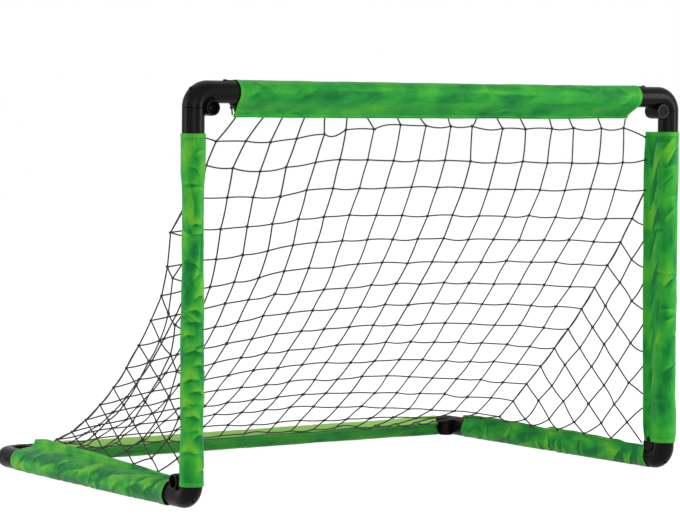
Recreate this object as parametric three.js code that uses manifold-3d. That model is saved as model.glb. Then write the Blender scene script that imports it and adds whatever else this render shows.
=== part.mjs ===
// Folding floorball goal: six metal tubes joined by six identical hinged corner
// fittings, six sewn fabric covers with flaps, and a knotted net in three panels.
// Millimetres, +Z up, +Y towards the back of the goal, +X to the right seen from the front.
import * as THREE from 'three';
import { mergeVertices } from 'three/addons/utils/BufferGeometryUtils.js';
import Module from 'manifold-3d';

const wasm = await Module();
wasm.setup();

// Driving sizes of the whole goal, measured over the fittings
const goalWidth = 900;
const goalHeight = 600;
const goalDepth = 600;

// Clearances
const seatGap = 0.3;
const cutOverrun = 5;

// Tubes
const tubeDiameter = 27;
const tubeWall = 1.2;

// Corner fittings: a bend with a straight leg, hinged to a straight sleeve
const fittingDiameter = 32;
const bendRadius = 22;
const legLength = 54;
const hollowDiameter = 25;
const sleeveLength = 52;
const sleeveTubeStop = 37;
const nubDiameter = 5;
const nubHeight = 1.4;

// Hinge barrel of a fitting, on the bend's centre of curvature
const barrelDiameter = 23;
const discReach = 14;
const mouthReach = 18;
const mouthDiameter = 17;
const mouthDepth = 9;
const knuckleWidth = 12;
const ribThickness = 1.5;
const ribReach = 5;
const ribHeight = 5;
const ribAnglesDeg = [100, 123, 147, 170];

// Hinge pin
const pinDiameter = 7;
const pinHeadDiameter = 15;
const pinHeadThickness = 2;
const pinHeadSink = 0.5;
const pinDimpleDiameter = 7;
const pinDimpleDepth = 0.8;
const pinTailReach = 2;

// Lock button in the window of the sleeve
const windowLength = 17;
const windowWidth = 6;
const windowFromSeam = 17;
const buttonSink = 0.6;
const buttonFlangeLip = 1.5;
const buttonFlangeThickness = 1.8;

// Rivet that pins the tube in the leg, on a raised pad
const rivetFromBend = 29.5;
const rivetShankDiameter = 4;
const rivetHeadDiameter = 6.5;
const rivetHeadHeight = 1;
const padLength = 13;
const padWidth = 9;
const padHeight = 0.8;
const padRoot = 3;

// Fabric covers
const coverThickness = 1;
const flapLength = 22;
const flapThickness = 2;
const seamReach = 4;
const floorClearance = 0.5;
const flapWave = 1.5;
const flapFolds = 1.75;
const coverStations = 5;
const flapEndShare = 0.72;

// How far each cover is pulled over the fitting at each end of its tube
const crossbarCoverLaps = [4, 14];
const leftUprightCoverLaps = [48, 16];
const rightUprightCoverLaps = [48, 20];
const leftSideCoverLaps = [14, 43];
const rightSideCoverLaps = [20, 14];
const backCoverLaps = [14, 49];

// Tilt of each flap from the upright or level line of its tube's section
const crossbarFlapTiltDeg = 20;
const sideFlapTiltDeg = 26;
const backFlapTiltDeg = 45;

// Knotted net
const twineDiameter = 2;
const backNetColumns = 18;
const backNetRows = 16;
const sideNetSteps = 14;
const panelSpacing = 6;
const netBellyShare = 0.03;

// Side view of the hanging net: shares of the way back, and of the way down, from the
// crossbar's flap to the back flap
const netHangShares = [
  [0.057, 0.044], [0.118, 0.124], [0.149, 0.232], [0.165, 0.36], [0.19, 0.471],
  [0.24, 0.551], [0.369, 0.703], [0.523, 0.836], [0.7, 0.938], [0.85, 0.98],
];

// Facets of the round shapes
const roundFacets = 16;
const boreFacets = 10;
const rivetFacets = 8;
const bendSteps = 4;
const coverFacets = 12;
const capSteps = 3;
const halvings = 40;

// Sizes worked out from the driving ones
const fittingRadius = fittingDiameter / 2;
const tubeRadius = tubeDiameter / 2;
const socketRadius = tubeRadius + seatGap;
const hollowRadius = hollowDiameter / 2;
const barrelRadius = barrelDiameter / 2;
const pinRadius = pinDiameter / 2;
const knuckleSpace = barrelRadius + 2 * seatGap;
const legTubeStop = Math.sqrt(Math.max(0, knuckleSpace ** 2 - (bendRadius - socketRadius) ** 2));
const halfSpan = goalWidth / 2 - fittingRadius;
const depthSpan = goalDepth - fittingDiameter;
const baseZ = fittingRadius;
const topZ = goalHeight - fittingRadius;
const coverInner = fittingRadius / Math.cos(Math.PI / roundFacets) + 2 * seatGap;
const coverOuter = coverInner + coverThickness;
const flapReach = coverOuter + flapLength;
const twineRadius = twineDiameter / 2;
const netReach = flapReach + twineRadius * Math.SQRT2 + seatGap;
const frontY = -depthSpan / 2;
const backY = frontY + depthSpan;
const degrees = Math.PI / 180;

// Materials
const plastic = new THREE.MeshStandardMaterial({ color: 0x2a272c, roughness: 0.45, metalness: 0 });
const pinPlastic = new THREE.MeshStandardMaterial({ color: 0x1d1b1f, roughness: 0.5, metalness: 0 });
const tubeSteel = new THREE.MeshStandardMaterial({ color: 0x9a9da0, roughness: 0.4, metalness: 0.9 });
const rivetSteel = new THREE.MeshStandardMaterial({ color: 0x3a383c, roughness: 0.35, metalness: 0.6 });
const coverFabric = new THREE.MeshStandardMaterial({ color: 0x38a038, roughness: 0.5, metalness: 0 });
const netTwine = new THREE.MeshStandardMaterial({ color: 0x2e2a26, roughness: 0.8, metalness: 0 });

// Closed solids from three.js geometry, and back again
function solid(geometry) {
  const bare = geometry.clone();
  bare.deleteAttribute('normal');
  bare.deleteAttribute('uv');
  const merged = mergeVertices(bare, 1e-5);
  const mesh = new wasm.Mesh({
    numProp: 3,
    vertProperties: new Float32Array(merged.attributes.position.array),
    triVerts: new Uint32Array(merged.index.array),
  });
  return new wasm.Manifold(mesh);
}

function geometryOf(manifold) {
  const mesh = manifold.getMesh();
  const geometry = new THREE.BufferGeometry();
  geometry.setAttribute('position', new THREE.BufferAttribute(new Float32Array(mesh.vertProperties), 3));
  geometry.setIndex(new THREE.BufferAttribute(new Uint32Array(mesh.triVerts), 1));
  geometry.computeVertexNormals();
  return geometry;
}

function indexedGeometry(places, index) {
  const geometry = new THREE.BufferGeometry();
  geometry.setFromPoints(places);
  geometry.setIndex(index);
  geometry.computeVertexNormals();
  return geometry;
}

function cutAway(body, cuts) {
  return cuts.reduce((rest, cut) => rest.subtract(cut), body);
}

// Directions and frames. A frame's Z axis is its X axis crossed with its Y axis.
const alongX = new THREE.Vector3(1, 0, 0);
const alongY = new THREE.Vector3(0, 1, 0);
const alongZ = new THREE.Vector3(0, 0, 1);
const reversed = (axis) => axis.clone().negate();

function frameAt(xAxis, yAxis, place) {
  const zAxis = new THREE.Vector3().crossVectors(xAxis, yAxis);
  return new THREE.Matrix4().makeBasis(xAxis, yAxis, zAxis).setPosition(place);
}

function moved(manifold, frame) {
  return manifold.transform(frame.elements);
}

// Regular outline whose flats lie at the radius, with a flat on each axis
function roundOutline(radius, facets = roundFacets) {
  const corner = radius / Math.cos(Math.PI / facets);
  return Array.from({ length: facets }, (_, k) => {
    const angle = ((k + 0.5) * 2 * Math.PI) / facets;
    return new THREE.Vector2(corner * Math.cos(angle), corner * Math.sin(angle));
  });
}

// Bar outline with half-round ends, longest along Y
function roundedBar(length, width) {
  const radius = width / 2;
  const straight = length / 2 - radius;
  const half = (side) => Array.from({ length: capSteps + 1 }, (_, k) => {
    const angle = side * (Math.PI / 2) - Math.PI / 2 + (k * Math.PI) / capSteps;
    return new THREE.Vector2(radius * Math.cos(angle), side * straight + radius * Math.sin(angle));
  });
  return [...half(1), ...half(-1)];
}

// Straight prism of an outline between two heights along Z
function prism(outline, from, to) {
  const geometry = new THREE.ExtrudeGeometry(new THREE.Shape(outline), { depth: to - from, bevelEnabled: false });
  geometry.translate(0, 0, from);
  return solid(geometry);
}

function rod(radius, from, to, facets = roundFacets) {
  return prism(roundOutline(radius, facets), from, to);
}

// Solid through one ring of points in each frame, closed at both ends
function loft(outline, frames, bend = (point) => point, floor = -Infinity) {
  const count = outline.length;
  const places = frames.flatMap((frame, i) => outline.map((point, j) => {
    const flat = bend(point, i, j);
    const place = new THREE.Vector3(flat.x, flat.y, 0).applyMatrix4(frame);
    place.z = Math.max(place.z, floor);
    return place;
  }));
  const index = [];
  for (let i = 0; i < frames.length - 1; i += 1) {
    for (let j = 0; j < count; j += 1) {
      const a = i * count + j;
      const b = i * count + ((j + 1) % count);
      index.push(a, b, b + count, a, b + count, a + count);
    }
  }
  const last = (frames.length - 1) * count;
  for (const [a, b, c] of THREE.ShapeUtils.triangulateShape(outline, [])) {
    index.push(c, b, a, last + a, last + b, last + c);
  }
  return solid(indexedGeometry(places, index));
}

// A fitting's own frame: the hinge axis is Z through the origin, with the mouth
// towards +Z. The leg runs along +X one bend radius up Y, and the sleeve runs
// along -Y one bend radius down X. The seam between them is the plane Y = 0.
const legAxis = frameAt(alongY, alongZ, new THREE.Vector3(0, bendRadius, 0));
const sleeveAxis = frameAt(alongX, alongZ, new THREE.Vector3(-bendRadius, 0, 0));
const rivetPlace = new THREE.Vector3(rivetFromBend, bendRadius, 0);
const rivetOutside = frameAt(alongZ, alongX, rivetPlace);
const rivetBeside = frameAt(alongY, alongX, rivetPlace);
const windowCentre = -windowFromSeam - windowLength / 2;
const windowAxis = frameAt(alongZ, alongY, new THREE.Vector3(-bendRadius, windowCentre, 0));

function bendFrames(legEnd) {
  const frames = [frameAt(alongY, reversed(alongZ), new THREE.Vector3(legEnd, bendRadius, 0))];
  for (let k = 0; k <= bendSteps; k += 1) {
    const angle = (Math.PI / 2) * (1 + k / bendSteps);
    const radial = new THREE.Vector3(Math.cos(angle), Math.sin(angle), 0);
    frames.push(frameAt(radial, reversed(alongZ), radial.clone().multiplyScalar(bendRadius)));
  }
  return frames;
}

function pinBore() {
  return rod(pinRadius + seatGap, -discReach - cutOverrun, mouthReach + cutOverrun, boreFacets);
}

function rivetHole(rivetAxis) {
  return moved(rod(rivetShankDiameter / 2 + seatGap, 0, fittingRadius + cutOverrun, rivetFacets), rivetAxis);
}

// Small gusset between the barrel's mouth and the bend
function makeRib(angle) {
  const root = mouthReach - ribHeight - ribReach;
  const profile = [
    new THREE.Vector2(barrelRadius - ribThickness, root),
    new THREE.Vector2(barrelRadius + ribReach, root),
    new THREE.Vector2(barrelRadius + ribReach, mouthReach - ribHeight),
    new THREE.Vector2(barrelRadius - ribThickness, mouthReach - ribThickness),
  ];
  const radial = new THREE.Vector3(Math.cos(angle * degrees), Math.sin(angle * degrees), 0);
  return moved(prism(profile, -ribThickness / 2, ribThickness / 2), frameAt(radial, alongZ, new THREE.Vector3()));
}

// The bend half of a fitting, with the two outer knuckles of the hinge
function makeElbow(rivetAxis) {
  const body = loft(roundOutline(fittingRadius), bendFrames(legLength));
  const barrel = rod(barrelRadius, -discReach, mouthReach);
  const pad = moved(prism(roundedBar(padLength, padWidth), fittingRadius - padRoot, fittingRadius + padHeight), rivetAxis);
  const bendTop = bendRadius + fittingRadius;
  const nub = moved(
    rod(nubDiameter / 2, bendTop - nubHeight, bendTop + nubHeight, boreFacets),
    frameAt(alongZ, new THREE.Vector3(1, 1, 0).normalize(), new THREE.Vector3()),
  );
  const joined = [barrel, pad, nub, ...ribAnglesDeg.map(makeRib)].reduce((all, piece) => all.add(piece), body);
  const headSeat = -discReach + pinHeadSink + pinHeadThickness + seatGap;
  return cutAway(joined, [
    moved(rod(socketRadius, legTubeStop, legLength + cutOverrun), legAxis),
    loft(roundOutline(hollowRadius, boreFacets), bendFrames(legTubeStop + cutOverrun)),
    moved(rod(hollowRadius, -seatGap, seatGap, boreFacets), sleeveAxis),
    rod(barrelRadius + seatGap, -knuckleWidth / 2 - seatGap, knuckleWidth / 2 + seatGap),
    rod(mouthDiameter / 2, mouthReach - mouthDepth, mouthReach + cutOverrun, boreFacets),
    rod(pinHeadDiameter / 2 + seatGap, -discReach - cutOverrun, headSeat, boreFacets),
    pinBore(),
    rivetHole(rivetAxis),
  ]);
}

// The sleeve half of a fitting, with the middle knuckle of the hinge
function makeSleeve() {
  const tube = moved(rod(fittingRadius, seatGap, sleeveLength), sleeveAxis);
  const knuckle = rod(barrelRadius, -knuckleWidth / 2, knuckleWidth / 2);
  const lastCut = fittingRadius + cutOverrun;
  return cutAway(tube, [
    moved(rod(socketRadius, sleeveTubeStop, sleeveLength + cutOverrun), sleeveAxis),
    moved(rod(hollowRadius, -cutOverrun, sleeveTubeStop + seatGap, boreFacets), sleeveAxis),
  ]).add(knuckle.subtract(moved(rod(hollowRadius, -cutOverrun, sleeveLength, boreFacets), sleeveAxis)))
    .subtract(rod(barrelRadius + seatGap, knuckleWidth / 2, lastCut))
    .subtract(rod(barrelRadius + seatGap, -lastCut, -knuckleWidth / 2))
    .subtract(pinBore())
    .subtract(moved(prism(roundedBar(windowLength, windowWidth), 0, fittingRadius + cutOverrun), windowAxis));
}

// Moulded pin with a dished head in the disc side of the barrel
function makePin() {
  const headBottom = -discReach + pinHeadSink;
  const headTop = headBottom + pinHeadThickness;
  const head = rod(pinHeadDiameter / 2, headBottom, headTop, boreFacets);
  const shank = rod(pinRadius, headTop - seatGap, mouthReach - mouthDepth + pinTailReach, boreFacets);
  const dimple = rod(pinDimpleDiameter / 2, headBottom - cutOverrun, headBottom + pinDimpleDepth, boreFacets);
  return head.add(shank).subtract(dimple);
}

// Button whose flange is held behind the window's wall
function makeLockButton() {
  const top = fittingRadius - buttonSink;
  const halfFlange = windowWidth / 2 + buttonFlangeLip;
  const flangeTop = Math.sqrt(hollowRadius ** 2 - halfFlange ** 2) - seatGap;
  const stem = prism(roundedBar(windowLength - 2 * seatGap, windowWidth - 2 * seatGap), flangeTop - seatGap, top);
  const flange = prism(
    roundedBar(windowLength + 2 * buttonFlangeLip, 2 * halfFlange),
    flangeTop - buttonFlangeThickness,
    flangeTop,
  );
  return moved(stem.add(flange), windowAxis);
}

function makeRivet(rivetAxis) {
  const headFrom = fittingRadius + padHeight + seatGap;
  const head = rod(rivetHeadDiameter / 2, headFrom, headFrom + rivetHeadHeight, rivetFacets);
  const shank = rod(rivetShankDiameter / 2, tubeRadius - 2 * tubeWall, headFrom + seatGap, rivetFacets);
  return moved(head.add(shank), rivetAxis);
}

// Corners: where the tube axes would cross, the way of the leg, and the side of the
// hinge on which the leg lies. Only the leg that would stand on its rivet has it beside.
const corners = {
  top_left: { at: [-halfSpan, frontY, topZ], leg: alongX, up: alongZ },
  top_right: { at: [halfSpan, frontY, topZ], leg: reversed(alongX), up: alongZ },
  front_left: { at: [-halfSpan, frontY, baseZ], leg: alongY, up: reversed(alongZ), rivet: rivetBeside },
  front_right: { at: [halfSpan, frontY, baseZ], leg: alongZ, up: reversed(alongY) },
  back_left: { at: [-halfSpan, backY, baseZ], leg: alongX, up: alongY },
  back_right: { at: [halfSpan, backY, baseZ], leg: reversed(alongY), up: alongX },
};
for (const corner of Object.values(corners)) {
  const hinge = new THREE.Vector3(...corner.at)
    .addScaledVector(corner.leg, bendRadius)
    .addScaledVector(corner.up, -bendRadius);
  corner.frame = frameAt(corner.leg, corner.up, hinge);
  corner.rivet ??= rivetOutside;
}

// Tubes: the corner and end kind at each end, and the way they run
const fittingEnds = {
  leg: { tube: bendRadius + legTubeStop + seatGap, reach: bendRadius + legLength },
  sleeve: { tube: bendRadius + sleeveTubeStop + seatGap, reach: bendRadius + sleeveLength },
};
const rivetHoles = Object.values(corners).map((corner) => moved(rivetHole(corner.rivet), corner.frame));

// Frame with Z along a tube that starts at a corner
const tubeFrames = {
  x: (at) => frameAt(alongY, alongZ, new THREE.Vector3(...at)),
  y: (at) => frameAt(alongZ, alongX, new THREE.Vector3(...at)),
  z: (at) => frameAt(alongX, alongY, new THREE.Vector3(...at)),
};

function makeTube(run, corner, length, [startEnd, finishEnd]) {
  const body = rod(tubeRadius, startEnd, length - finishEnd)
    .subtract(rod(tubeRadius - tubeWall, startEnd - cutOverrun, length - finishEnd + cutOverrun));
  return cutAway(moved(body, tubeFrames[run](corner.at)), rivetHoles);
}

// Sleeve of fabric round a tube, whose edges meet in a flap
const teardrop = [
  ...roundOutline(coverOuter, coverFacets),
  new THREE.Vector2(coverOuter + seamReach, -flapThickness / 2),
  new THREE.Vector2(flapReach, -flapThickness / 2),
  new THREE.Vector2(flapReach, flapThickness / 2),
  new THREE.Vector2(coverOuter + seamReach, flapThickness / 2),
];
const footSpace = fittingRadius + seatGap;
const fittingSpaces = Object.values(corners).flatMap((corner) => [
  rod(knuckleSpace, -discReach - cutOverrun, mouthReach + cutOverrun),
  moved(rod(footSpace, 0, legLength + seatGap), legAxis),
  moved(rod(footSpace, 0, sleeveLength + seatGap), sleeveAxis),
  moved(prism(roundedBar(padLength + 2 * seatGap, padWidth + 2 * seatGap), 0, fittingRadius + cutOverrun), corner.rivet),
].map((space) => moved(space, corner.frame)));

function makeCover(run, corner, length, [startEnd, finishEnd], flapAngle) {
  const base = tubeFrames[run](corner.at);
  const turn = new THREE.Vector2(Math.cos(flapAngle), Math.sin(flapAngle));
  const turned = (x, y) => new THREE.Vector2(x * turn.x - y * turn.y, x * turn.y + y * turn.x);
  const frameAlong = (distance) => base.clone().multiply(new THREE.Matrix4().makeTranslation(0, 0, distance));
  const frames = Array.from({ length: coverStations }, (_, i) => frameAlong(
    startEnd + ((length - startEnd - finishEnd) * i) / (coverStations - 1),
  ));
  const wavy = (point, i) => {
    const hem = Math.max(0, (point.x - coverOuter) / flapLength);
    const isEnd = i === 0 || i === coverStations - 1;
    const shift = flapWave * hem * Math.sin((2 * Math.PI * flapFolds * i) / (coverStations - 1));
    const reach = point.x - (isEnd ? hem * flapLength * (1 - flapEndShare) : 0);
    return turned(reach, point.y + shift);
  };
  const outer = loft(teardrop, frames, wavy, floorClearance);
  const innerFrames = [frameAlong(startEnd - cutOverrun), frameAlong(length - finishEnd + cutOverrun)];
  const innerTurn = (point) => turned(point.x, point.y);
  const inner = loft(roundOutline(coverInner, coverFacets), innerFrames, innerTurn, floorClearance + coverThickness);
  return cutAway(outer.subtract(inner), fittingSpaces);
}

// Net of square-section twine along the links of a graph. Each knot has a point above,
// a point below and one between each two links, so the strands share their corners.
function netGeometry(knots, normals, links) {
  const neighbours = knots.map(() => []);
  for (const [a, b] of links) {
    neighbours[a].push(b);
    neighbours[b].push(a);
  }
  const places = [];
  const addPlace = (place) => places.push(place) - 1;
  const fans = knots.map((knot, i) => {
    const normal = normals[i];
    const first = new THREE.Vector3().subVectors(knots[neighbours[i][0]], knot).projectOnPlane(normal).normalize();
    const second = new THREE.Vector3().crossVectors(normal, first);
    const bearings = neighbours[i].map((j) => {
      const way = new THREE.Vector3().subVectors(knots[j], knot);
      const angle = Math.atan2(way.dot(second), way.dot(first));
      return { j, angle: angle < -1e-9 ? angle + 2 * Math.PI : Math.max(angle, 0) };
    }).sort((p, q) => p.angle - q.angle);
    const between = bearings.map(({ angle }, k) => {
      const next = k + 1 < bearings.length ? bearings[k + 1].angle : 2 * Math.PI + bearings[0].angle;
      const half = (next - angle) / 2;
      const reach = twineRadius / Math.sin(half);
      return addPlace(knot.clone()
        .addScaledVector(first, reach * Math.cos(angle + half))
        .addScaledVector(second, reach * Math.sin(angle + half)));
    });
    return {
      order: bearings.map(({ j }) => j),
      between,
      above: addPlace(knot.clone().addScaledVector(normal, twineRadius)),
      below: addPlace(knot.clone().addScaledVector(normal, -twineRadius)),
    };
  });
  const sides = (from, to) => {
    const fan = fans[from];
    const k = fan.order.indexOf(to);
    return { left: fan.between[k], right: fan.between[(k + fan.between.length - 1) % fan.between.length] };
  };
  const index = [];
  const wall = (a, b, c, d) => index.push(a, b, c, a, c, d);
  for (const [a, b] of links) {
    const start = sides(a, b);
    const finish = sides(b, a);
    wall(fans[a].above, fans[b].above, finish.right, start.left);
    wall(fans[a].above, start.right, finish.left, fans[b].above);
    wall(start.left, finish.right, fans[b].below, fans[a].below);
    wall(fans[a].below, fans[b].below, finish.left, start.right);
  }
  return indexedGeometry(places, index);
}

// Side view of the hanging net, from the crossbar's flap to the back flap
const crossbarTilt = crossbarFlapTiltDeg * degrees;
const backTilt = backFlapTiltDeg * degrees;
const sideTilt = sideFlapTiltDeg * degrees;
const netTop = new THREE.Vector2(frontY + netReach * Math.sin(crossbarTilt), topZ - netReach * Math.cos(crossbarTilt));
const netFoot = new THREE.Vector2(backY - netReach * Math.sin(backTilt), baseZ + netReach * Math.cos(backTilt));
const netProfile = new THREE.SplineCurve([
  netTop,
  ...netHangShares.map(([back, down]) => new THREE.Vector2(
    THREE.MathUtils.lerp(netTop.x, netFoot.x, back),
    THREE.MathUtils.lerp(netTop.y, netFoot.y, down),
  )),
  netFoot,
]);
const sideNetX = halfSpan - flapReach * Math.sin(sideTilt);
const backNetX = sideNetX - panelSpacing;

function makeBackNet() {
  const knots = [];
  const normals = [];
  const links = [];
  const chord = netTop.distanceTo(netFoot);
  const across = backNetColumns + 1;
  for (let row = 0; row <= backNetRows; row += 1) {
    const down = row / backNetRows;
    const point = netProfile.getPointAt(down);
    const tangent = netProfile.getTangentAt(down);
    const outward = new THREE.Vector3(0, -tangent.y, tangent.x);
    for (let column = 0; column <= backNetColumns; column += 1) {
      const side = column / backNetColumns;
      const belly = netBellyShare * chord * Math.sin(Math.PI * side) * Math.sin(Math.PI * down);
      const x = THREE.MathUtils.lerp(-backNetX, backNetX, side);
      knots.push(new THREE.Vector3(x, point.x, point.y).addScaledVector(outward, -belly));
      normals.push(outward);
      const here = row * across + column;
      if (column > 0) {
        links.push([here - 1, here]);
      }
      if (row > 0) {
        links.push([here - across, here]);
      }
    }
  }
  return netGeometry(knots, normals, links);
}

// Diamond mesh in the triangle between upright, side rail and the back panel's edge
function makeSideNet(side) {
  const corner = new THREE.Vector2(frontY + netReach * Math.cos(sideTilt), baseZ + netReach * Math.cos(sideTilt));
  const shareWhere = (test) => {
    let low = 0;
    let high = 1;
    for (let k = 0; k < halvings; k += 1) {
      const middle = (low + high) / 2;
      if (test(netProfile.getPointAt(middle))) {
        high = middle;
      } else {
        low = middle;
      }
    }
    return low;
  };
  const topShare = shareWhere((point) => point.x > corner.x);
  const lowShare = shareWhere((point) => point.y < corner.y);
  const knots = [];
  const seats = new Map();
  for (let i = 0; i <= sideNetSteps; i += 1) {
    for (let j = i % 2; i + j <= sideNetSteps; j += 2) {
      const out = (i + j) / sideNetSteps;
      const along = i + j > 0 ? i / (i + j) : 0;
      const rim = netProfile.getPointAt(THREE.MathUtils.lerp(topShare, lowShare, along));
      const y = THREE.MathUtils.lerp(corner.x, i === 0 ? corner.x : rim.x, out);
      const z = THREE.MathUtils.lerp(corner.y, j === 0 ? corner.y : rim.y, out);
      seats.set(`${i},${j}`, knots.push(new THREE.Vector3(side * sideNetX, y, z)) - 1);
    }
  }
  const links = [];
  const link = (here, i, j) => {
    if (seats.has(`${i},${j}`)) {
      links.push([here, seats.get(`${i},${j}`)]);
    }
  };
  for (const [key, here] of seats) {
    const [i, j] = key.split(',').map(Number);
    link(here, i + 1, j + 1);
    link(here, i + 1, j - 1);
    if (i === 0) {
      link(here, i, j + 2);
    }
    if (j === 0) {
      link(here, i + 2, j);
    }
  }
  return netGeometry(knots, knots.map(() => alongX), links);
}

// The goal put together
const goal = new THREE.Group();

function addPiece(name, shape, material, parent = goal) {
  const geometry = shape.isBufferGeometry ? shape : geometryOf(shape);
  const mesh = new THREE.Mesh(geometry, material);
  mesh.name = name;
  parent.add(mesh);
}

for (const [name, corner] of Object.entries(corners)) {
  const fitting = new THREE.Group();
  fitting.applyMatrix4(corner.frame);
  goal.add(fitting);
  addPiece(`${name}_elbow`, makeElbow(corner.rivet), plastic, fitting);
  addPiece(`${name}_hinge_sleeve`, makeSleeve(), plastic, fitting);
  addPiece(`${name}_hinge_pin`, makePin(), pinPlastic, fitting);
  addPiece(`${name}_lock_button`, makeLockButton(), pinPlastic, fitting);
  addPiece(`${name}_tube_rivet`, makeRivet(corner.rivet), rivetSteel, fitting);
}

const heightSpan = topZ - baseZ;
const widthSpan = 2 * halfSpan;
const { top_left: topLeft, front_left: frontLeft, front_right: frontRight, back_left: backLeft } = corners;
const rails = [
  ['crossbar', 'x', topLeft, widthSpan, ['leg', 'leg'], crossbarCoverLaps, crossbarTilt - Math.PI / 2],
  ['left_upright', 'z', frontLeft, heightSpan, ['sleeve', 'sleeve'], leftUprightCoverLaps, Math.PI / 2 - sideTilt],
  ['right_upright', 'z', frontRight, heightSpan, ['leg', 'sleeve'], rightUprightCoverLaps, Math.PI / 2 + sideTilt],
  ['left_side_rail', 'y', frontLeft, depthSpan, ['leg', 'sleeve'], leftSideCoverLaps, sideTilt],
  ['right_side_rail', 'y', frontRight, depthSpan, ['sleeve', 'leg'], rightSideCoverLaps, -sideTilt],
  ['back_rail', 'x', backLeft, widthSpan, ['leg', 'sleeve'], backCoverLaps, Math.PI / 2 + backTilt],
];
for (const [name, run, corner, length, ends, laps, flapAngle] of rails) {
  const tubeEnds = ends.map((end) => fittingEnds[end].tube);
  const coverEnds = ends.map((end, i) => fittingEnds[end].reach - laps[i]);
  addPiece(`${name}_tube`, makeTube(run, corner, length, tubeEnds), tubeSteel);
  addPiece(`${name}_cover`, makeCover(run, corner, length, coverEnds, flapAngle), coverFabric);
}
addPiece('back_net', makeBackNet(), netTwine);
addPiece('left_side_net', makeSideNet(-1), netTwine);
addPiece('right_side_net', makeSideNet(1), netTwine);

export default goal;
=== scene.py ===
# Looks of a folding floorball goal: moulded corner fittings, sewn green covers and a
# knotted net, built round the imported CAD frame. Metres, +Z up, +Y towards the back rail.
import math
import random

import bmesh
import bpy
from mathutils import Matrix, Vector, noise


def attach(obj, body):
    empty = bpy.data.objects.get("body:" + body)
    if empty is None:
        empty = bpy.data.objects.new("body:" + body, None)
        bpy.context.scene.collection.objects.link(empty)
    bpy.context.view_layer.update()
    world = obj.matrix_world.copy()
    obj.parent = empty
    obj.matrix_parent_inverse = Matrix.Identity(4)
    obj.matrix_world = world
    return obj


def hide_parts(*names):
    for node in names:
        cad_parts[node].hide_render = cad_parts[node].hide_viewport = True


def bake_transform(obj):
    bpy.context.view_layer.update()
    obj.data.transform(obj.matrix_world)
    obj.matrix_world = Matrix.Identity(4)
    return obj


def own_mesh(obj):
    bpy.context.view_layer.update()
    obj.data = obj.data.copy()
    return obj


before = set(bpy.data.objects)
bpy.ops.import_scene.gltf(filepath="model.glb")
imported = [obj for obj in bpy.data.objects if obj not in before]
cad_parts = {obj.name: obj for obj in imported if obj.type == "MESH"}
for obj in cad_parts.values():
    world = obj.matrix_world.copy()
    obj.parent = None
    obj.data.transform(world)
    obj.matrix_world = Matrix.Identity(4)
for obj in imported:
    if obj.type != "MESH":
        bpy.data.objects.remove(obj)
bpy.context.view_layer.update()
mm = 0.001

# The camera stands to the left of the mouth, a little above the ground, with a long
# lens. Its place and turn were fitted to the six corners of the frame in the photograph.
camera_data = bpy.data.cameras.new("camera")
camera_data.sensor_width = 36
camera_data.lens = 148.2
camera = bpy.data.objects.new("camera", camera_data)
bpy.context.scene.collection.objects.link(camera)
bpy.context.scene.camera = camera
camera_azimuth = math.radians(-34.36)
camera_pitch = math.radians(3.01)
camera_roll = math.radians(0.42)
camera.matrix_world = (
    Matrix.Translation((-2.4615, -3.6132, 0.5561))
    @ Matrix.Rotation(camera_azimuth, 4, "Z")
    @ Matrix.Rotation(math.radians(90) - camera_pitch, 4, "X")
    @ Matrix.Rotation(camera_roll, 4, "Z")
)
camera_data.clip_end = 30

# The studio: a white floor that runs out of the picture, a tall softbox on each side of
# the goal, weaker lamps in front and above, and an even white sky.
scene = bpy.context.scene
scene.view_settings.view_transform = "Standard"


class Value:
    """A number in a shader, so that sums on sockets read as ordinary sums."""

    def __init__(self, finish, socket):
        self.finish = finish
        self.socket = socket

    def _sum(self, operation, *terms):
        made = self.finish.tree.nodes.new("ShaderNodeMath")
        made.operation = operation
        for slot, term in zip(made.inputs, terms):
            self.finish.feed(slot, term)
        return Value(self.finish, made.outputs[0])

    def __add__(self, other):
        return self._sum("ADD", self, other)

    __radd__ = __add__

    def __sub__(self, other):
        return self._sum("SUBTRACT", self, other)

    def __rsub__(self, other):
        return self._sum("SUBTRACT", other, self)

    def __mul__(self, other):
        return self._sum("MULTIPLY", self, other)

    __rmul__ = __mul__


class Finish:
    """A material under construction: its shader and the nodes that feed it."""

    def __init__(self, name, settings):
        self.material = bpy.data.materials.new(name)
        self.material.use_nodes = True
        self.tree = self.material.node_tree
        self.shader = self.tree.nodes["Principled BSDF"]
        for slot, value in settings.items():
            self.shader.inputs[slot].default_value = value

    def feed(self, slot, value):
        if isinstance(value, Value):
            value = value.socket
        if isinstance(value, bpy.types.NodeSocket):
            self.tree.links.new(value, slot)
        else:
            slot.default_value = value

    def node(self, kind, settings, sockets, output=0):
        made = self.tree.nodes.new("ShaderNode" + kind)
        for key, value in settings.items():
            if key == "stops":
                while len(made.color_ramp.elements) < len(value):
                    made.color_ramp.elements.new(0.5)
                for stop, (place, colour) in zip(made.color_ramp.elements, value):
                    stop.position = place
                    stop.color = (*colour, 1)
            else:
                setattr(made, key, value)
        for slot, value in sockets.items():
            self.feed(made.inputs[slot], value)
        return Value(self, made.outputs[output])

    def noise(self, place, scale, detail=3, roughness=0.5):
        return self.node(
            "TexNoise", {}, {"Vector": place, "Scale": scale, "Detail": detail, "Roughness": roughness},
        )

    def blend(self, factor, first, second):
        return self.node("Mix", {"data_type": "RGBA"}, {0: factor, 6: first, 7: second}, output=2)

    def bump(self, height, distance, strength=1.0):
        bumped = self.node("Bump", {}, {"Height": height, "Distance": distance, "Strength": strength})
        self.feed(self.shader.inputs["Normal"], bumped)


floor_mesh = bmesh.new()
bmesh.ops.create_grid(floor_mesh, x_segments=2, y_segments=2, size=12)
floor_data = bpy.data.meshes.new("studio_floor")
floor_mesh.to_mesh(floor_data)
floor_mesh.free()
floor = bpy.data.objects.new("studio_floor", floor_data)
scene.collection.objects.link(floor)

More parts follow.
